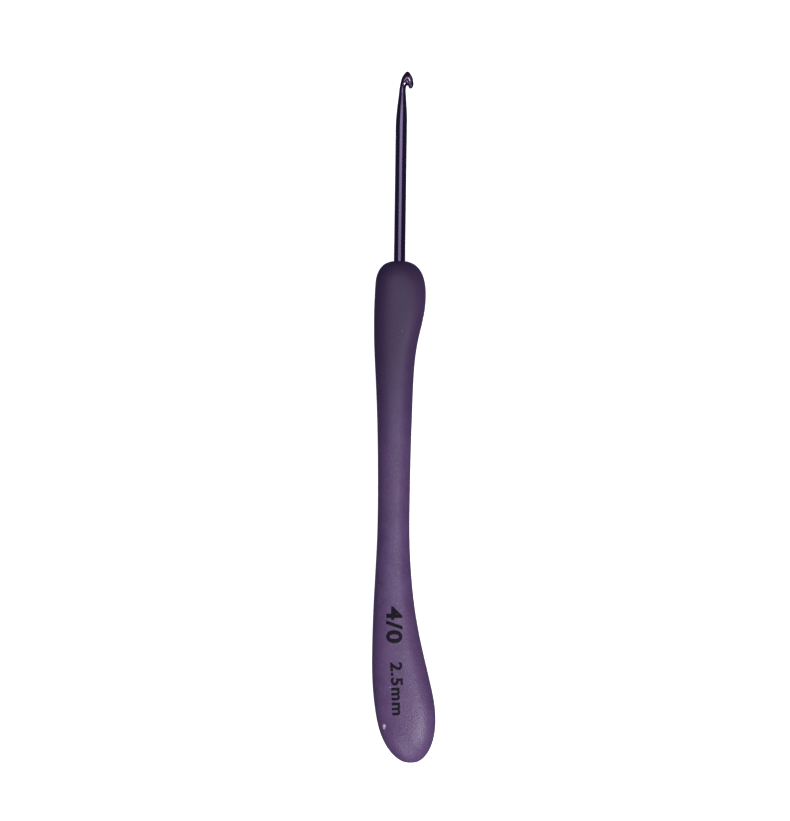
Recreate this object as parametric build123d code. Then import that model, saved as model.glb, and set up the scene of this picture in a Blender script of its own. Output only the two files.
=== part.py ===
from build123d import *

# Crochet hook: a one-piece aluminium hook whose tang is held in a rigid core, with a soft grip
# moulded over both. All sizes are in millimetres.
#
# The pieces are drawn about the shank: X points to the side where the throat opens, Y runs along
# the shank to the tip of the head, Z is square to both, and the origin is where the shank's axis
# leaves the grip. The hook is mirror-symmetric in Z. place_on_surface() then moves every piece so
# that the hook lies on the plane Z = 0 with the origin under the middle of its bounding box.

import os
from math import cos, pi, radians, sin

# Driving dimensions
GRIP_LENGTH = 108.4  # mouth to butt
SHANK_DIAMETER = 2.5  # the hook's nominal size
TAPER_START = 29.5  # mouth to where the shank starts to narrow
TANG_LENGTH = 46.0  # shank hidden inside the grip
SKIN = 1.1  # thickness of the soft moulding over the core
HALF_OVAL_STEPS = 8  # steps between the points on half of a section of the grip
HEAD_OVAL_STEPS = 24  # and all round a section of the head

# Outline of the grip between its two rounded ends. Each station is a distance from the mouth, the
# X of its straight side and of its wavy side there, and half of its thickness.
GRIP_STATIONS = (
    (6.0, -5.20, 5.80, 4.35),
    (10.0, -5.36, 5.70, 4.40),
    (13.0, -5.36, 5.16, 4.34),
    (17.0, -5.29, 4.24, 4.12),
    (21.5, -5.06, 3.62, 3.87),
    (30.0, -4.55, 3.25, 3.60),
    (40.0, -4.17, 3.03, 3.48),
    (51.0, -3.98, 2.93, 3.45),
    (60.0, -4.03, 3.00, 3.50),
    (68.0, -4.35, 3.50, 3.65),
    (76.0, -4.66, 4.50, 3.92),
    (84.0, -4.79, 6.15, 4.22),
    (91.0, -4.63, 7.92, 4.37),
    (97.0, -3.97, 9.08, 4.37),
)
BUTT_X = 3.82  # middle of the butt, off the shank's axis
WAIST_HALF_WIDTH = 3.45  # narrowest half width, where the section is nearly an ellipse
WAIST_SQUARENESS = 2.1
SQUARENESS_GAIN = 0.2  # more squareness for each millimetre of half width
MOUTH_DOME_POWER = 0.625  # under 1 makes the mouth's dome fuller than an ellipse
BUTT_DOME_POWER = 0.94
MOUTH_DOME_TURNS = (12, 27, 45, 66)  # degrees round the dome, from the flat at its end
BUTT_DOME_TURNS = (7, 22, 40, 62)

# The head, as sections that fan round the throat from the neck to the lip. Each is its point on
# the throat side, its point on the outer side, and half of its depth in Z.
HEAD_SECTIONS = (
    ((1.23, 31.5), (-1.16, 31.5), 1.22),
    ((1.12, 33.5), (-0.99, 33.5), 1.13),
    ((1.00, 35.2), (-0.79, 35.2), 1.03),
    ((0.90, 36.4), (-0.66, 36.4), 0.95),
    ((0.84, 37.2), (-0.59, 37.2), 0.91),
    ((0.87, 37.65), (-0.50, 37.90), 0.94),
    ((0.95, 38.00), (-0.38, 38.60), 1.02),
    ((1.03, 38.14), (-0.18, 39.50), 1.13),
    ((1.09, 38.20), (0.19, 40.38), 1.19),
    ((1.14, 38.22), (0.62, 41.02), 1.20),
    ((1.18, 38.22), (1.20, 41.40), 1.18),
    ((1.22, 38.21), (1.76, 40.96), 1.15),
    ((1.27, 38.17), (2.13, 40.30), 1.10),
    ((1.33, 38.09), (2.42, 39.45), 1.02),
    ((1.40, 37.95), (2.54, 38.62), 0.91),
    ((1.51, 37.74), (2.44, 38.02), 0.74),
    ((1.65, 37.58), (2.20, 37.70), 0.48),
    ((1.81, 37.50), (2.02, 37.57), 0.17),
)

LOFT_BREAKS = (10, 14)  # sections where one run of the head's loft ends and the next begins

# Flats staked into the tang, which stop the hook turning in the core or pulling out
STAKE_DISTANCES = (14.0, 40.0)  # mouth to the middle of each
STAKE_LENGTH = 5.0
STAKE_WIDTH = 3.1
STAKE_THICKNESS = 1.6
STAKE_RAMP = 1.0
TANG_CHAMFER = 0.4

# Openings in the core that the soft moulding fills, which lock it on
CORE_GROOVES = (30.0, 50.0, 58.0)  # mouth to the middle of each ring
GROOVE_WIDTH = 1.6
GROOVE_DEPTH = 0.4
PADDLE_WINDOWS = (76.0, 86.0, 96.0)
PADDLE_WINDOW_LENGTH = 6.5
PADDLE_WINDOW_WIDTH = 2.8
SHOULDER_WINDOW = 9.0
SHOULDER_WINDOW_LENGTH = 5.0
SHOULDER_WINDOW_WIDTH = 1.3
SHOULDER_WINDOW_OFFSET = 3.0  # X of each, either side of the tang

ACROSS = Vector(1, 0, 0)
FAR = 40.0  # longer than any section, for cutters


def oval_points(centre, across, half_across, half_deep, squareness, turns):
    """Points on a closed curve in the plane of `across` and Z, at `turns` in degrees.

    It is an ellipse at squareness 2, and boxier above.
    """
    points = []
    for turn in turns:
        along, rise = cos(radians(turn)), sin(radians(turn))
        reach = (abs(along) ** squareness + abs(rise) ** squareness) ** (-1 / squareness)
        in_plane = across * (half_across * reach * along)
        points.append(centre + in_plane + Vector(0, 0, half_deep * reach * rise))
    return points


def head_section(centre, across, half_across, half_deep):
    """One cross-section of the head or neck, an ellipse in one piece."""
    turns = [360 * step / HEAD_OVAL_STEPS for step in range(HEAD_OVAL_STEPS)]
    shares = [step / HEAD_OVAL_STEPS for step in range(HEAD_OVAL_STEPS + 1)]
    points = oval_points(centre, across, half_across, half_deep, 2, turns)
    return Wire([Edge.make_spline(points, periodic=True, parameters=shares)])


def grip_section(distance, middle, half_width, half_thickness, squareness):
    """One cross-section of the grip, `distance` from the mouth.

    It is two halves, which meet without a corner at the parting plane Z = 0.
    """
    centre = Vector(middle, -distance, 0)
    shares = [step / HALF_OVAL_STEPS for step in range(HALF_OVAL_STEPS + 1)]
    halves = []
    for first_turn, up in ((0, 1), (180, -1)):
        turns = [first_turn + 180 * share for share in shares]
        points = oval_points(centre, ACROSS, half_width, half_thickness, squareness, turns)
        start = Vector(0, 0, up * pi * half_thickness)
        halves.append(
            Edge.make_spline(points, tangents=[start, -start], parameters=shares, scale=False)
        )
    return Wire(halves)


def grip_shape(inset):
    """The grip's outer shape, or the shape `inset` inside it, as one smooth solid."""
    sizes = []
    for distance, straight_side, wavy_side, half_thickness in GRIP_STATIONS:
        half_width = (wavy_side - straight_side) / 2
        squareness = WAIST_SQUARENESS + SQUARENESS_GAIN * (half_width - WAIST_HALF_WIDTH)
        middle = (wavy_side + straight_side) / 2
        sizes.append((distance, middle, half_width - inset, half_thickness - inset, squareness))

    def dome(base, end, end_middle, turns, power):
        distance, middle, half_width, half_thickness, squareness = base
        flat = 1 - cos(radians(turns[0]))
        found = []
        for turn in turns:
            share = (1 - cos(radians(turn)) - flat) / (1 - flat)
            size = sin(radians(turn)) ** power
            found.append(
                grip_section(
                    end + (distance - end) * share,
                    end_middle + (middle - end_middle) * share,
                    half_width * size,
                    half_thickness * size,
                    2 + (squareness - 2) * share,
                )
            )
        return found

    mouth = dome(sizes[0], inset, 0, MOUTH_DOME_TURNS, MOUTH_DOME_POWER)
    butt = dome(sizes[-1], GRIP_LENGTH - inset, BUTT_X, BUTT_DOME_TURNS, BUTT_DOME_POWER)
    body = [grip_section(*size) for size in sizes]
    return Solid.make_loft([*mouth, *body, *reversed(butt)])


def head_and_neck():
    """The formed end of the hook: taper, neck, throat, head and lip.

    A loft can't turn right round the throat in one go, so it is made in runs that share a section.
    """
    radius = SHANK_DIAMETER / 2
    back = Vector(-1, 0, 0)
    start = Plane(origin=(0, TAPER_START, 0), x_dir=back, z_dir=(0, 1, 0))
    sections = [
        Wire([Edge.make_circle(radius, start)]),
        head_section(Vector(0, TAPER_START + radius / 2, 0), back, radius * 0.995, radius),
    ]
    for throat_side, outer_side, half_depth in HEAD_SECTIONS:
        inner, outer = Vector(*throat_side), Vector(*outer_side)
        span = outer - inner
        middle = (inner + outer) / 2
        sections.append(head_section(middle, span.normalized(), span.length / 2, half_depth))
    ends = (0, *LOFT_BREAKS, len(sections) - 1)
    runs = [Solid.make_loft(sections[a : b + 1]) for a, b in zip(ends, ends[1:])]
    return Part() + runs


def stake(distance):
    """What the staking tool adds to the tang (a flat blade) and what it squeezes away."""
    blade = Pos(0, -distance, 0) * Box(STAKE_WIDTH, STAKE_LENGTH, STAKE_THICKNESS)
    blade = fillet(blade.edges().filter_by(Axis.Z), STAKE_RAMP)
    squeeze = Pos(0, -distance, 0) * Box(STAKE_WIDTH, STAKE_LENGTH, SHANK_DIAMETER * 1.2)
    squeeze -= Pos(0, -distance, 0) * Box(FAR, FAR, STAKE_THICKNESS)
    return blade, squeeze


def make_hook():
    """The one-piece aluminium hook: head, neck, shank and tang."""
    radius = SHANK_DIAMETER / 2
    bar_length = TANG_LENGTH + TAPER_START
    bar = Solid.make_cylinder(
        radius, bar_length, Plane(origin=(0, -TANG_LENGTH, 0), z_dir=(0, 1, 0))
    )
    bar = Part(bar.wrapped)
    bar = chamfer(bar.edges().sort_by(Axis.Y)[0], TANG_CHAMFER)
    for distance in STAKE_DISTANCES:
        blade, squeeze = stake(distance)
        bar = bar - squeeze + blade
    return bar + head_and_neck()


def slot_cutter(x, distance, length, width):
    """A round-ended slot along Y, right through in Z."""
    outline = Pos(x, -distance) * Rot(0, 0, 90) * SlotOverall(length, width)
    return extrude(outline, FAR, both=True)


def middle_at(distance):
    """X of the grip's middle, `distance` from the mouth, between the stations beside it."""
    pairs = zip(GRIP_STATIONS, GRIP_STATIONS[1:])
    for (d0, s0, w0, _), (d1, s1, w1, _) in pairs:
        if d0 <= distance <= d1:
            share = (distance - d0) / (d1 - d0)
            return (s0 + w0) / 2 * (1 - share) + (s1 + w1) / 2 * share
    raise ValueError(f"{distance} is outside the stations")


def make_core(hook):
    """The rigid core: the grip's shape less the skin, with the tang's seat and moulding locks."""
    core = Part(grip_shape(SKIN).wrapped)
    for distance in PADDLE_WINDOWS:
        core -= slot_cutter(
            middle_at(distance), distance, PADDLE_WINDOW_LENGTH, PADDLE_WINDOW_WIDTH
        )
    for side in (-1, 1):
        core -= slot_cutter(
            side * SHOULDER_WINDOW_OFFSET,
            SHOULDER_WINDOW,
            SHOULDER_WINDOW_LENGTH,
            SHOULDER_WINDOW_WIDTH,
        )
    rings = [Pos(0, -distance, 0) * Box(FAR, GROOVE_WIDTH, FAR) for distance in CORE_GROOVES]
    core -= Part() + rings - Part(grip_shape(SKIN + GROOVE_DEPTH).wrapped)
    return core - hook


def make_sleeve(core, hook):
    """The soft moulding, which fills everything between its outer shape, the core and the hook."""
    return Part(grip_shape(0).wrapped) - core - hook


def place_on_surface(pieces):
    """Moves the pieces so that they lie on Z = 0, with the origin under their middle."""
    boxes = [piece.bounding_box() for piece in pieces.values()]
    low = [min(side) for side in zip(*(tuple(box.min) for box in boxes))]
    high = [max(side) for side in zip(*(tuple(box.max) for box in boxes))]
    shift = Pos(-(low[0] + high[0]) / 2, -(low[1] + high[1]) / 2, -low[2])
    return {name: shift * piece for name, piece in pieces.items()}


def main():
    hook = make_hook()
    core = make_core(hook)
    sleeve = make_sleeve(core, hook)
    pieces = {"hook_shank": hook, "grip_core": core, "grip_sleeve": sleeve}
    os.makedirs("parts", exist_ok=True)
    for name, piece in place_on_surface(pieces).items():
        export_step(piece, f"parts/{name}.step")


main()
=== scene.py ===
"""Looks of the crochet hook: a metal hook, the soft grip moulded round it and its printed size.

Every length is in metres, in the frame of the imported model. The hook and the grip are rebuilt as
nets of quads, with a fan of triangles at each closed end. Their sections are measured on the CAD
nodes, so they lie where those lie.
"""

from math import cos, log2, pi, radians, sin

import bmesh
import bpy
from mathutils import Matrix, Vector
from mathutils.bvhtree import BVHTree


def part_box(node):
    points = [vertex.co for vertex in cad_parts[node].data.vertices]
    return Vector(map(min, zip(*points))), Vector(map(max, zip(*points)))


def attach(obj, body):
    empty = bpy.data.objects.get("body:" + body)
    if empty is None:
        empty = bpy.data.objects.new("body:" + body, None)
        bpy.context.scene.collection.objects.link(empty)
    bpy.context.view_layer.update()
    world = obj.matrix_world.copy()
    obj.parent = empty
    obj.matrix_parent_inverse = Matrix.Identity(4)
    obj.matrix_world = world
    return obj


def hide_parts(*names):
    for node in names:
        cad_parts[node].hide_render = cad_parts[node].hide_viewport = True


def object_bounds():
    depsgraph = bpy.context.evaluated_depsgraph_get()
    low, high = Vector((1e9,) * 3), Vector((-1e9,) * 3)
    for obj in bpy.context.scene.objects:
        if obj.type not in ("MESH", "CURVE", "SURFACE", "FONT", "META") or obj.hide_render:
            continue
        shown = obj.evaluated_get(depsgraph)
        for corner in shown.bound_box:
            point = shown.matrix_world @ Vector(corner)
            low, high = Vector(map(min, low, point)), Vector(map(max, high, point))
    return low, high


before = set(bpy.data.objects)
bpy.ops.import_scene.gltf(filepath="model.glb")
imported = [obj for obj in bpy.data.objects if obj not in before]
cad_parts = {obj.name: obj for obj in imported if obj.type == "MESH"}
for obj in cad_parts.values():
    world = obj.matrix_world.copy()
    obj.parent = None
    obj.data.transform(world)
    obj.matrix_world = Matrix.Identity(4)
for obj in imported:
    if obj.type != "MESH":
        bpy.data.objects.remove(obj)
cad_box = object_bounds()

MM = 0.001
FAR = 0.05  # further than any section reaches from its middle
ACROSS = Vector((1, 0, 0))
DOWN = Vector((0, 0, -1))

# The grip's net
AROUND_GRIP = 56  # points round each section, besides those beside the parting line
GRIP_RING_STEP = 1.3 * MM
MOUTH_DOME = 6.0 * MM  # length of the rounded end where the shank comes out
BUTT_DOME = 11.4 * MM
DOME_RINGS = 14
MOST_SQUARE = 3.3  # 2 is an ellipse
SQUARENESS_SMOOTHING = 8  # rounds
MOUTH_LIP = 0.2 * MM  # how far the moulding creeps up the shank
MOUTH_LIP_SPREAD = 1.3  # radius of its rim, as a share of the shank's
BORE_SPREAD = 1.004  # radius of its bore, as a share of the shank's
SHELL = 1.0 * MM  # thickness of the shell, just under the CAD skin's so that it clears the core
PARTING_RISE = 0.022 * MM  # height of the mould's parting line
PARTING_TURN = radians(1.3)  # turn from the parting line to the points either side of it

# The hook's net
AROUND_HOOK = 32
TANG_END_RINGS = (0.05 * MM, 0.4 * MM)  # heights above the tang's end, round its chamfer
TANG_START = 0.9 * MM  # height above the tang's end where the evenly spaced rings begin
TANG_STEP = 0.6 * MM
MOUTH_MARGIN = 1.0 * MM  # how far inside the mouth the rings grow further apart
SHANK_STEP = 1.8 * MM
NECK_STEP = 0.3 * MM
NECK_RINGS = 30  # rings of the neck that are smoothed together with the head's
CLOSE_LENGTH = 13.0 * MM  # from where the rings grow closer, just before the taper, to the tip
LIP_HANG = 0.9 * MM  # how far below the throat's middle the lip still hangs beside the neck
THROAT_FROM_TIP = Vector((0, -3.45 * MM, 0))  # what the head's sections fan round
FAN_START = 180  # degrees from +X, where the head's first section lies
FAN_END = -25  # its last section, at the end of the lip
FAN_STEP = 5
LIP_END_SEARCH = 1.0 * MM  # how far past the last section the lip's end is looked for
AXIS_SHARE = 1 / 3  # where the shank is measured, from the mouth to the tip

# The printed size, which reads towards the butt
PRINTS = (
    # text, how far its middle is from the mouth and from the shank's axis, its length along the
    # grip, its height and its drift to the wavy side
    ("4/0", 78.2 * MM, -0.05 * MM, 7.9 * MM, 3.5 * MM, radians(0.8)),
    ("2.5mm", 91.9 * MM, 0.76 * MM, 11.4 * MM, 2.6 * MM, radians(3.0)),
)
PRINT_WEIGHT = 0.032  # how far each stroke is thickened, as a share of the type size
PRINT_SPACING = 1.12
PRINT_SLICE = 0.35 * MM  # the ink is cut this finely, so that it follows the grip
PRINT_CURVE_STEPS = 4
INK_THICKNESS = 0.04 * MM  # half of it sinks into the grip

# Where the head is redder, and where painted highlights make it pale: along the lip and in the
# throat
WEB_FROM_TIP = Vector((-0.45 * MM, -1.95 * MM, 1.0 * MM))
WEB_SIZE = (0.75 * MM, 1.3 * MM, 1.5 * MM)
PAINTED_HIGHLIGHTS_FROM_TIP = (
    (Vector((0.52 * MM, -2.3 * MM, 1.0 * MM)), (0.42 * MM, 1.5 * MM, 1.2 * MM)),
    (Vector((-0.74 * MM, -3.0 * MM, 1.0 * MM)), (0.36 * MM, 0.36 * MM, 1.2 * MM)),
)

# Painted shade on the straight side near the mouth and on the swell there, where the grip is
# darker
PAINTED_SHADE_FROM_MOUTH = Vector((-3.0 * MM, -6.0 * MM, 2.0 * MM))
PAINTED_SHADE_SIZE = (14 * MM, 38 * MM, 15 * MM)

# A pale nick on the straight side, near the butt
NICK_FROM_MOUTH = Vector((-1.98 * MM, -100.3 * MM, 4.0 * MM))
NICK_SIZE = (0.65 * MM, 0.95 * MM, 2.0 * MM)

# The view
VIEW_HEIGHT = 177.8 * MM  # how much the picture takes in
VIEW_OFFSET = Vector((-2.45 * MM, 1.33 * MM, 0))  # from the object's middle to the picture's
VIEW_ROLL = radians(0.79)
LENS = 100.0
SENSOR = 36.0

# The stage
FLOOR_SIZE = 6.0
FLOOR_GLOW = 0.93  # nearly enough light of its own to be white
WORLD_COLOUR = (1.00, 0.90, 1.55)  # violet, which the dark metal and the edges pick up
WORLD_STRENGTH = 0.12
LIGHT_COLOUR = (0.93, 0.95, 1.0)
LIGHTS = (
    # name, offset from the object's middle, width, length and watts
    ("key", Vector((0.19, -0.22, 0.34)), 0.15, 0.15, 1.3),
    ("butt_fill", Vector((-0.03, -0.28, 0.16)), 0.12, 0.12, 0.26),
    ("strip", Vector((-0.05, 0.22, 0.95)), 0.9, 0.28, 3.1),
)


# ---- Measuring the CAD nodes ----------------------------------------------------------------


def tree_of(node):
    """A search tree of a CAD node's faces."""
    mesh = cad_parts[node].data
    return BVHTree.FromPolygons(
        [v.co.copy() for v in mesh.vertices], [tuple(p.vertices) for p in mesh.polygons]
    )


def first_hit(tree, start, direction):
    """Where a ray first meets the tree's faces."""
    return tree.ray_cast(start, direction.normalized(), 2 * FAR)[0]


def measure_across(tree, y, mid_z, right_start):
    """Left x, right x and half depth of a section square to Y, its right seen from right_start."""
    left = first_hit(tree, Vector((-FAR, y, mid_z)), ACROSS).x
    right = first_hit(tree, Vector((right_start, y, mid_z)), -ACROSS).x
    top = first_hit(tree, Vector(((left + right) / 2, y, FAR)), DOWN).z
    return left, right, top - mid_z


def smoothed(values, rounds):
    """The list with each value averaged with its neighbours, the two ends kept."""
    for _ in range(rounds):
        inner = [(a + 2 * b + c) / 4 for a, b, c in zip(values, values[1:], values[2:])]
        values = [values[0], *inner, values[-1]]
    return values


def ring(centre, across, half_across, half_deep, turns, squareness=2.0):
    """Points round a section in the plane of `across` and Z, at `turns` in radians."""
    points = []
    for turn in turns:
        along, rise = cos(turn), sin(turn)
        reach = (abs(along) ** squareness + abs(rise) ** squareness) ** (-1 / squareness)
        in_plane = across * (half_across * reach * along)
        points.append(centre + in_plane + Vector((0, 0, half_deep * reach * rise)))
    return points


def net_mesh(name, rings, start_pole, end_pole):
    """A mesh of quads between rings of points, with a fan of triangles out to each pole."""
    mesh = bmesh.new()
    rows = [[mesh.verts.new(point) for point in points] for points in rings]
    count = len(rows[0])
    for low, high in zip(rows, rows[1:]):
        for i in range(count):
            j = (i + 1) % count
            mesh.faces.new((low[i], low[j], high[j], high[i]))
    for point, row in ((start_pole, rows[0]), (end_pole, rows[-1])):
        if point:
            pole = mesh.verts.new(point)
            for i in range(count):
                mesh.faces.new((row[i], row[(i + 1) % count], pole))
    bmesh.ops.recalc_face_normals(mesh, faces=mesh.faces)
    data = bpy.data.meshes.new(name)
    mesh.to_mesh(data)
    mesh.free()
    piece = bpy.data.objects.new(name, data)
    bpy.context.scene.collection.objects.link(piece)
    data.polygons.foreach_set("use_smooth", [True] * len(data.polygons))
    return piece


def round_off(piece):
    """Rounds the piece's net with one level of subdivision."""
    subdivision = piece.modifiers.new("round", "SUBSURF")
    subdivision.levels = subdivision.render_levels = 1


def steps(start, end, size):
    """Evenly spaced values from start to end, about `size` apart, without the end."""
    count = max(1, round(abs(end - start) / size))
    return [start + (end - start) * i / count for i in range(count)]


# ---- The grip -------------------------------------------------------------------------------


def grip_heights(low_y, high_y):
    """Where the grip's rings lie, from just inside the mouth to just inside the butt."""
    quarter = [pi / 2 * (i + 1) / DOME_RINGS for i in range(DOME_RINGS)]
    mouth = [high_y - MOUTH_DOME * (1 - cos(turn)) for turn in quarter[1:]]
    butt = [low_y + BUTT_DOME * (1 - cos(turn)) for turn in quarter]
    return mouth + steps(mouth[-1], butt[-1], GRIP_RING_STEP)[1:] + butt[::-1]


def grip_turns():
    """Turns of the points round the grip, with close pairs either side of the parting line."""
    turns = [2 * pi * i / AROUND_GRIP for i in range(AROUND_GRIP)]
    turns += [side + offset for side in (0, pi) for offset in (-PARTING_TURN, PARTING_TURN)]
    return sorted(turn % (2 * pi) for turn in turns)


def measure_grip(heights, mid_z):
    """Left x, right x, half depth and squareness of the grip at each height, smoothed."""
    tree = tree_of("grip_sleeve")
    lefts, rights, depths, squares = [], [], [], []
    for y in heights:
        left, right, depth = measure_across(tree, y, mid_z, FAR)
        centre = Vector(((left + right) / 2, y, mid_z))
        corner = Vector(((right - left) / 2, 0, depth))
        start = centre + corner * (FAR / corner.length)
        reach = (first_hit(tree, start, -corner) - centre).length / corner.length
        lefts.append(left)
        rights.append(right)
        depths.append(depth)
        squares.append(min(-1 / log2(reach), MOST_SQUARE))
    lefts, rights, depths = (smoothed(values, 1) for values in (lefts, rights, depths))
    return lefts, rights, depths, smoothed(squares, SQUARENESS_SMOOTHING)


def grip_ring(y, left, right, depth, square, mid_z, turns):
    """One section of the grip, with the parting line raised at its two sides."""
    centre = Vector(((left + right) / 2, y, mid_z))
    points = ring(centre, ACROSS, (right - left) / 2, depth, turns, square)
    for i, turn in enumerate(turns):
        if abs(sin(turn)) < 1e-6:
            points[i] += (points[i] - centre).normalized() * PARTING_RISE
    return points


def mouth_rings(shank_x, shank_radius, mouth_y, mid_z, turns):
    """The bore round the shank and the rim that creeps a little way up it."""
    centre = Vector((shank_x, mouth_y, mid_z))
    bore_radius = shank_radius * BORE_SPREAD
    rim_radius = shank_radius * MOUTH_LIP_SPREAD
    bore = ring(centre, ACROSS, bore_radius, bore_radius, turns)
    rim = ring(centre + Vector((0, MOUTH_LIP, 0)), ACROSS, rim_radius, rim_radius, turns)
    return [bore, rim]


def make_grip(shank_x, shank_radius):
    """The soft moulding, as a shell that is open where the shank comes out."""
    low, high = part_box("grip_sleeve")
    mid_z = (low.z + high.z) / 2
    heights = grip_heights(low.y, high.y)
    lefts, rights, depths, squares = measure_grip(heights, mid_z)
    turns = grip_turns()
    rings = mouth_rings(shank_x, shank_radius, high.y, mid_z, turns)
    for section in zip(heights, lefts, rights, depths, squares):
        rings.append(grip_ring(*section, mid_z, turns))
    butt = Vector(((lefts[-1] + rights[-1]) / 2, low.y, mid_z))
    grip = net_mesh("soft_grip", rings, None, butt)
    shell = grip.modifiers.new("shell", "SOLIDIFY")
    shell.thickness = SHELL
    shell.offset = -1
    round_off(grip)
    return grip


# ---- The hook -------------------------------------------------------------------------------


def shank_sections(tree, low_y, mouth_y, tip_y, throat, mid_z):
    """Inner and outer side and half depth of the sections square to Y, from the tang up."""
    close_y = tip_y - CLOSE_LENGTH
    heights = [low_y + height for height in TANG_END_RINGS]
    heights += steps(low_y + TANG_START, mouth_y - MOUTH_MARGIN, TANG_STEP)
    heights += steps(mouth_y - MOUTH_MARGIN, close_y, SHANK_STEP)
    heights += steps(close_y, throat.y, NECK_STEP)
    sections = []
    for y in heights:
        open_side = throat.x if y > throat.y - LIP_HANG else FAR
        left, right, depth = measure_across(tree, y, mid_z, open_side)
        sections.append((right, y, left, y, depth))
    return sections


def head_sections(tree, throat, mid_z):
    """The same for the head, where the sections fan round the throat to the end of the lip."""
    sections = []
    for turn in range(FAN_START, FAN_END - 1, -FAN_STEP):
        away = Vector((cos(radians(turn)), sin(radians(turn)), 0))
        inner = first_hit(tree, throat, away)
        outer = first_hit(tree, throat + away * FAR, -away)
        middle = (inner + outer) / 2
        top = first_hit(tree, Vector((middle.x, middle.y, FAR)), DOWN)
        sections.append((inner.x, inner.y, outer.x, outer.y, top.z - mid_z))
    return sections


def make_hook(shank_x, mid_z, mouth_y):
    """The one-piece hook, from the end of the tang to the end of the lip."""
    tree = tree_of("hook_shank")
    low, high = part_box("hook_shank")
    tip = hook_tip(mid_z)
    throat = tip + THROAT_FROM_TIP
    shank = shank_sections(tree, low.y, mouth_y, tip.y, throat, mid_z)
    neck_start = len(shank) - NECK_RINGS
    columns = []
    for column in zip(*shank, *head_sections(tree, throat, mid_z)):
        columns.append([*column[:neck_start], *smoothed(list(column[neck_start:]), 1)])

    turns = [2 * pi * i / AROUND_HOOK for i in range(AROUND_HOOK)]
    rings = []
    for inner_x, inner_y, outer_x, outer_y, depth in zip(*columns):
        inner = Vector((inner_x, inner_y, mid_z))
        outer = Vector((outer_x, outer_y, mid_z))
        span = outer - inner
        centre = (inner + outer) / 2
        rings.append(ring(centre, span.normalized(), span.length / 2, depth, turns))
    last = sum(rings[-1], Vector()) / AROUND_HOOK
    onward = last - sum(rings[-2], Vector()) / AROUND_HOOK
    lip_end = first_hit(tree, last + onward.normalized() * LIP_END_SEARCH, -onward)
    tang_end = Vector((shank_x, low.y, mid_z))
    hook = net_mesh("metal_hook", rings, tang_end, lip_end)
    round_off(hook)
    return hook


def hook_tip(mid_z):
    """The furthest point of the head along Y, brought to the middle height."""
    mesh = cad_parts["hook_shank"].data
    tip = max((v.co for v in mesh.vertices), key=lambda co: co.y)
    return Vector((tip.x, tip.y, mid_z))


def shank_axis(mouth_y, tip_y):
    """The x and radius of the straight shank."""
    low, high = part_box("hook_shank")
    mid_z = (low.z + high.z) / 2
    y = mouth_y + (tip_y - mouth_y) * AXIS_SHARE
    left, right, depth = measure_across(tree_of("hook_shank"), y, mid_z, FAR)
    return (left + right) / 2, depth


# ---- The printed size -----------------------------------------------------------------------


def slice_mesh(mesh, axis, low, high):
    """Cuts the mesh across an axis every PRINT_SLICE, so that it can bend."""
    normal = Vector((0, 0, 0))
    normal[axis] = 1
    for at in steps(low, high, PRINT_SLICE)[1:]:
        geometry = [*mesh.verts, *mesh.edges, *mesh.faces]
        bmesh.ops.bisect_plane(mesh, geom=geometry, plane_co=normal * at, plane_no=normal)


def letter_mesh(name, text):
    """A flat mesh of the text's letters."""
    curve = bpy.data.curves.new(name, "FONT")
    curve.body = text
    curve.offset = PRINT_WEIGHT
    curve.space_character = PRINT_SPACING
    curve.resolution_u = PRINT_CURVE_STEPS
    letters = bpy.data.objects.new(name + "_letters", curve)
    bpy.context.scene.collection.objects.link(letters)
    bpy.context.view_layer.update()
    data = bpy.data.meshes.new_from_object(letters)
    data.name = name
    bpy.data.objects.remove(letters)
    return data


def make_print(name, text, distance, offset, length, height, drift, shank_x, mouth_y, surface):
    """A film of ink in the shape of the text, laid on the grip."""
    data = letter_mesh(name, text)
    low = Vector([min(v.co[i] for v in data.vertices) for i in range(3)])
    high = Vector([max(v.co[i] for v in data.vertices) for i in range(3)])
    size = high - low
    fit = Matrix.Diagonal((length / size.x, height / size.y, 1, 1))
    place = Matrix.Translation((shank_x + offset, mouth_y - distance, 0))
    turn = Matrix.Rotation(drift - pi / 2, 4, "Z")
    data.transform(place @ turn @ fit @ Matrix.Translation(-(low + high) / 2))

    mesh = bmesh.new()
    mesh.from_mesh(data)
    bmesh.ops.remove_doubles(mesh, verts=mesh.verts, dist=0.001 * MM)
    for axis in (0, 1):
        places = [v.co[axis] for v in mesh.verts]
        slice_mesh(mesh, axis, min(places), max(places))
    for vert in mesh.verts:
        start = Vector((vert.co.x, vert.co.y, FAR))
        vert.co.z = first_hit(surface, start, DOWN).z
    mesh.to_mesh(data)
    mesh.free()
    data.polygons.foreach_set("use_smooth", [True] * len(data.polygons))
    ink = bpy.data.objects.new(name, data)
    bpy.context.scene.collection.objects.link(ink)
    film = ink.modifiers.new("film", "SOLIDIFY")
    film.thickness = INK_THICKNESS
    film.offset = 0
    return ink


# ---- Materials ------------------------------------------------------------------------------


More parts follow.
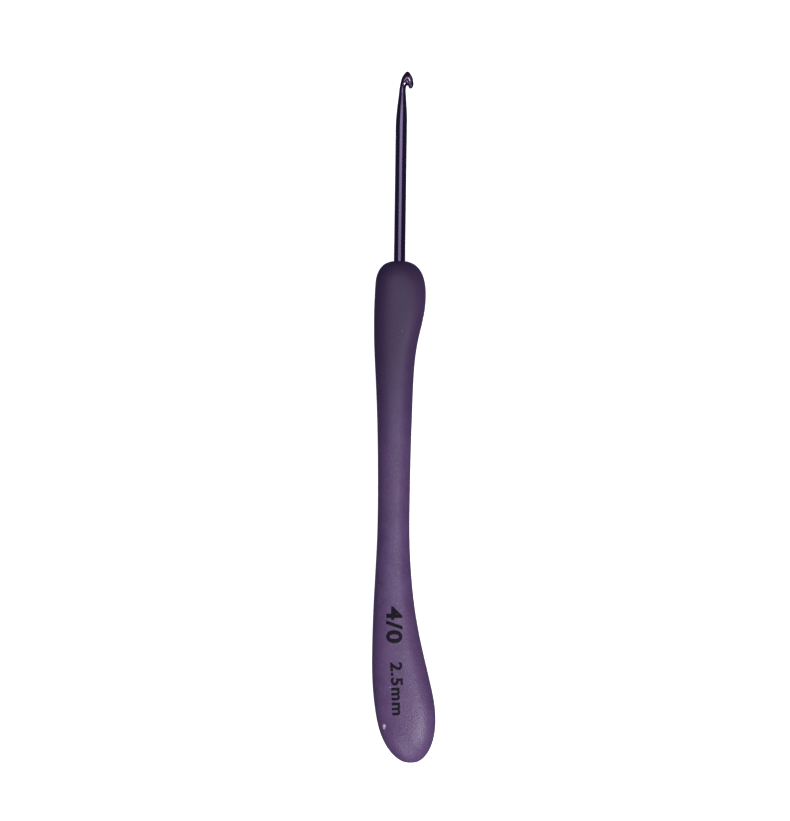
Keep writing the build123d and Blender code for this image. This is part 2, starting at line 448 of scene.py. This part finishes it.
class Paint:
    """A material's node tree, with short calls for the nodes that it needs."""

    def __init__(self, name):
        self.material = bpy.data.materials.new(name)
        self.material.use_nodes = True
        self.tree = self.material.node_tree
        self.shader = self.tree.nodes["Principled BSDF"]
        self.place = self.tree.nodes.new("ShaderNodeTexCoord").outputs["Object"]

    def set(self, **values):
        for name, value in values.items():
            self.shader.inputs[name.replace("_", " ")].default_value = value

    def link(self, output, name):
        self.tree.links.new(output, self.shader.inputs[name])

    def stretched(self, scale):
        """Object coordinates, multiplied along each axis."""
        node = self.tree.nodes.new("ShaderNodeMapping")
        node.inputs["Scale"].default_value = scale
        self.tree.links.new(self.place, node.inputs["Vector"])
        return node.outputs["Vector"]

    def noise(self, scale, detail=3.0, place=None):
        node = self.tree.nodes.new("ShaderNodeTexNoise")
        node.inputs["Scale"].default_value = scale
        node.inputs["Detail"].default_value = detail
        self.tree.links.new(place or self.place, node.inputs["Vector"])
        return node.outputs["Fac"]

    def specks(self, scale, size):
        """1 in a small ball in each cell of an uneven grid, 0 elsewhere."""
        node = self.tree.nodes.new("ShaderNodeTexVoronoi")
        node.inputs["Scale"].default_value = scale
        self.tree.links.new(self.place, node.inputs["Vector"])
        return self.ramp(node.outputs["Distance"], (size, 1), (size * 1.5, 0))

    def spot(self, centre, radii):
        """1 at the centre of an ellipsoid, falling to 0 at its surface."""
        mapping = self.tree.nodes.new("ShaderNodeMapping")
        mapping.vector_type = "TEXTURE"
        mapping.inputs["Location"].default_value = centre
        mapping.inputs["Scale"].default_value = radii
        self.tree.links.new(self.place, mapping.inputs["Vector"])
        node = self.tree.nodes.new("ShaderNodeTexGradient")
        node.gradient_type = "SPHERICAL"
        self.tree.links.new(mapping.outputs["Vector"], node.inputs["Vector"])
        return node.outputs["Fac"]

    def ramp(self, value, low, high):
        """The value stretched from (input, output) at low to (input, output) at high."""
        node = self.tree.nodes.new("ShaderNodeMapRange")
        node.inputs["From Min"].default_value, node.inputs["To Min"].default_value = low
        node.inputs["From Max"].default_value, node.inputs["To Max"].default_value = high
        self.tree.links.new(value, node.inputs["Value"])
        return node.outputs["Result"]

    def math(self, operation, a, b):
        node = self.tree.nodes.new("ShaderNodeMath")
        node.operation = operation
        self.tree.links.new(a, node.inputs[0])
        self.tree.links.new(b, node.inputs[1])
        return node.outputs[0]

    def mix(self, share, a, b):
        """Colour a where share is 0 and b where it is 1. Each is a colour or an output."""
        node = self.tree.nodes.new("ShaderNodeMix")
        node.data_type = "RGBA"
        self.tree.links.new(share, node.inputs["Factor"])
        for name, colour in (("A", a), ("B", b)):
            socket = next(s for s in node.inputs if s.name == name and s.type == "RGBA")
            if isinstance(colour, tuple):
                socket.default_value = (*colour, 1)
            else:
                self.tree.links.new(colour, socket)
        return next(s for s in node.outputs if s.type == "RGBA")

    def bump(self, heights):
        """Adds bumps, each a (height output, distance in metres)."""
        normal = None
        for height, distance in heights:
            node = self.tree.nodes.new("ShaderNodeBump")
            node.inputs["Distance"].default_value = distance
            self.tree.links.new(height, node.inputs["Height"])
            if normal:
                self.tree.links.new(normal, node.inputs["Normal"])
            normal = node.outputs["Normal"]
        self.link(normal, "Normal")


def soft_grip_material(mouth):
    """Purple elastomer: a fine grain, mottling, painted shade on the side near the mouth, a little
    lint, a nick.
    """
    paint = Paint("soft_elastomer")
    grain = paint.noise(2600, 2)
    mottle = paint.noise(260, 4)
    cloud = paint.noise(38, 3)
    shade = paint.ramp(mottle, (0.35, 0), (0.65, 1))
    colour = paint.mix(shade, (0.088, 0.048, 0.120), (0.111, 0.061, 0.150))
    colour = paint.mix(paint.ramp(cloud, (0.4, 0), (0.65, 0.5)), colour, (0.112, 0.048, 0.120))
    # Painted shade near the mouth: a darker colour there, with the grain fainter and the surface
    # rougher
    reach = paint.spot(mouth + PAINTED_SHADE_FROM_MOUTH, PAINTED_SHADE_SIZE)
    painted_shade = paint.ramp(reach, (0, 0), (0.6, 0.95))
    colour = paint.mix(painted_shade, colour, (0.043, 0.021, 0.064))
    grain_faded_in_shade = paint.math("MULTIPLY", grain, paint.ramp(painted_shade, (0, 1), (0.9, 0.6)))
    colour = paint.mix(paint.ramp(grain_faded_in_shade, (0.5, 0), (0.8, 0.3)), colour, (0.19, 0.14, 0.24))
    patches = paint.ramp(paint.noise(170, 1), (0.60, 0), (0.64, 0.65))
    lint = paint.math("MULTIPLY", paint.specks(620, 0.05), patches)
    colour = paint.mix(lint, colour, (0.42, 0.38, 0.46))
    scuff = paint.math(
        "MULTIPLY",
        paint.ramp(paint.spot(mouth + NICK_FROM_MOUTH, NICK_SIZE), (0.1, 0), (0.4, 1)),
        paint.ramp(paint.noise(1500, 2), (0.36, 0), (0.50, 1)),
    )
    colour = paint.mix(scuff, colour, (0.60, 0.52, 0.62))
    paint.link(colour, "Base Color")
    roughening_in_shade = paint.ramp(painted_shade, (0, 0), (1, 0.12))
    roughness = paint.math("ADD", paint.ramp(mottle, (0.3, 0.37), (0.7, 0.43)), roughening_in_shade)
    paint.link(roughness, "Roughness")
    paint.set(Specular_IOR_Level=0.42, Sheen_Weight=0.08, Sheen_Roughness=0.4)
    paint.set(Sheen_Tint=(0.35, 0.35, 0.75, 1))
    paint.bump([(cloud, 0.05 * MM), (grain_faded_in_shade, 0.08 * MM), (scuff, 0.03 * MM)])
    return paint.material


def anodised_material(tip):
    """Dark violet anodised aluminium with drawing lines, redder in the head, with painted
    highlights along its lip and in its throat.
    """
    paint = Paint("violet_anodised_aluminium")
    lines = paint.noise(1, 4, paint.stretched((9000, 90, 9000)))
    cloud = paint.noise(420, 3)
    shade = paint.ramp(lines, (0.3, 0), (0.7, 1))
    colour = paint.mix(shade, (0.036, 0.020, 0.063), (0.062, 0.040, 0.096))
    colour = paint.mix(paint.ramp(cloud, (0.52, 0), (0.75, 0.5)), colour, (0.066, 0.022, 0.062))
    web = paint.ramp(paint.spot(tip + WEB_FROM_TIP, WEB_SIZE), (0.1, 0), (0.5, 0.8))
    colour = paint.mix(web, colour, (0.080, 0.030, 0.058))
    # Painted highlights, pale lavender, along the lip and in the throat
    for from_tip, size in PAINTED_HIGHLIGHTS_FROM_TIP:
        painted_highlight = paint.ramp(paint.spot(tip + from_tip, size), (0.05, 0), (0.6, 0.85))
        colour = paint.mix(painted_highlight, colour, (0.50, 0.44, 0.66))
    paint.link(colour, "Base Color")
    paint.link(paint.ramp(lines, (0.3, 0.16), (0.7, 0.26)), "Roughness")
    paint.set(Metallic=0.95, Coat_Weight=0.55, Coat_Roughness=0.14)
    paint.bump([(lines, 0.004 * MM)])
    return paint.material


def core_material():
    """Dark moulded ABS, inside the grip."""
    paint = Paint("core_abs")
    flow = paint.noise(300, 4)
    colour = paint.mix(flow, (0.030, 0.024, 0.040), (0.050, 0.040, 0.066))
    paint.link(colour, "Base Color")
    paint.link(paint.ramp(flow, (0.3, 0.30), (0.7, 0.42)), "Roughness")
    paint.bump([(flow, 0.01 * MM)])
    return paint.material


def ink_material():
    """Pad-printed black ink, a little uneven."""
    paint = Paint("black_ink")
    patch = paint.noise(2600, 3)
    wear = paint.ramp(patch, (0.4, 0), (0.8, 1))
    paint.link(paint.mix(wear, (0.004, 0.003, 0.006), (0.020, 0.014, 0.026)), "Base Color")
    paint.link(paint.ramp(patch, (0.3, 0.5), (0.7, 0.65)), "Roughness")
    paint.set(Specular_IOR_Level=0.1)
    paint.bump([(patch, 0.003 * MM)])
    return paint.material


def floor_material():
    """Pale matt card, bright enough to wash most of the shadow out."""
    paint = Paint("pale_card")
    fibre = paint.noise(900, 3)
    paint.link(paint.mix(fibre, (0.90, 0.90, 0.90), (0.94, 0.94, 0.94)), "Base Color")
    paint.set(Roughness=0.9, Specular_IOR_Level=0.1)
    paint.set(Emission_Color=(1, 1, 1, 1), Emission_Strength=FLOOR_GLOW)
    return paint.material


# ---- Stage ----------------------------------------------------------------------------------


def aimed_from(offset):
    """Turns a light at `offset` to face the middle, with its width square to Y."""
    back = offset.normalized()
    width = Vector((0, 1, 0)).cross(back).normalized()
    return Matrix((width, back.cross(width), back)).transposed().to_euler()


def make_floor():
    """A wide floor at z 0, which doesn't light the object or show in it."""
    mesh = bpy.data.meshes.new("floor")
    half = FLOOR_SIZE / 2
    corners = [(-half, -half, 0), (half, -half, 0), (half, half, 0), (-half, half, 0)]
    mesh.from_pydata(corners, [], [(0, 1, 2, 3)])
    floor = bpy.data.objects.new("floor", mesh)
    floor.visible_diffuse = floor.visible_glossy = False
    bpy.context.scene.collection.objects.link(floor)
    mesh.materials.append(floor_material())


def make_lights(middle):
    """Area lights, each turned to face the object's middle."""
    for name, offset, width, length, watts in LIGHTS:
        data = bpy.data.lights.new(name, "AREA")
        data.shape = "RECTANGLE"
        data.size = width
        data.size_y = length
        data.energy = watts
        data.color = LIGHT_COLOUR
        lamp = bpy.data.objects.new(name, data)
        lamp.location = middle + offset
        lamp.rotation_euler = aimed_from(offset)
        bpy.context.scene.collection.objects.link(lamp)


def make_world():
    """A faint violet surround, and colours shown as they are."""
    world = bpy.data.worlds.new("studio")
    world.use_nodes = True
    background = world.node_tree.nodes["Background"]
    background.inputs["Color"].default_value = (*WORLD_COLOUR, 1)
    background.inputs["Strength"].default_value = WORLD_STRENGTH
    bpy.context.scene.world = world
    bpy.context.scene.view_settings.view_transform = "Standard"


def make_camera(middle):
    """Looks straight down, from where LENS takes in VIEW_HEIGHT."""
    data = bpy.data.cameras.new("camera")
    data.lens = LENS
    data.sensor_width = SENSOR
    camera = bpy.data.objects.new("camera", data)
    distance = VIEW_HEIGHT / SENSOR * LENS
    camera.location = middle + VIEW_OFFSET - DOWN * distance
    camera.rotation_euler = (0, 0, VIEW_ROLL)
    data.clip_start = distance / 100
    data.clip_end = distance * 10
    bpy.context.scene.collection.objects.link(camera)
    bpy.context.scene.camera = camera


# ---- Making it all --------------------------------------------------------------------------

middle = (cad_box[0] + cad_box[1]) / 2
make_camera(middle)
make_floor()
make_lights(middle)
make_world()

mouth_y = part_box("grip_sleeve")[1].y
tip_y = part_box("hook_shank")[1].y
shank_x, shank_radius = shank_axis(mouth_y, tip_y)

hook = make_hook(shank_x, middle.z, mouth_y)
hook.data.materials.append(anodised_material(hook_tip(middle.z)))
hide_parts("hook_shank")
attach(hook, "root")

grip = make_grip(shank_x, shank_radius)
grip.data.materials.append(soft_grip_material(Vector((shank_x, mouth_y, middle.z))))
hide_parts("grip_sleeve")
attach(grip, "root")

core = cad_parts["grip_core"]
core.data.materials.clear()
core.data.materials.append(core_material())

bpy.context.view_layer.update()
shown_grip = BVHTree.FromObject(grip, bpy.context.evaluated_depsgraph_get())
ink = ink_material()
for number, size_print in enumerate(PRINTS, 1):
    figures = make_print(f"size_print_{number}", *size_print, shank_x, mouth_y, shown_grip)
    figures.data.materials.append(ink)
    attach(figures, "root")
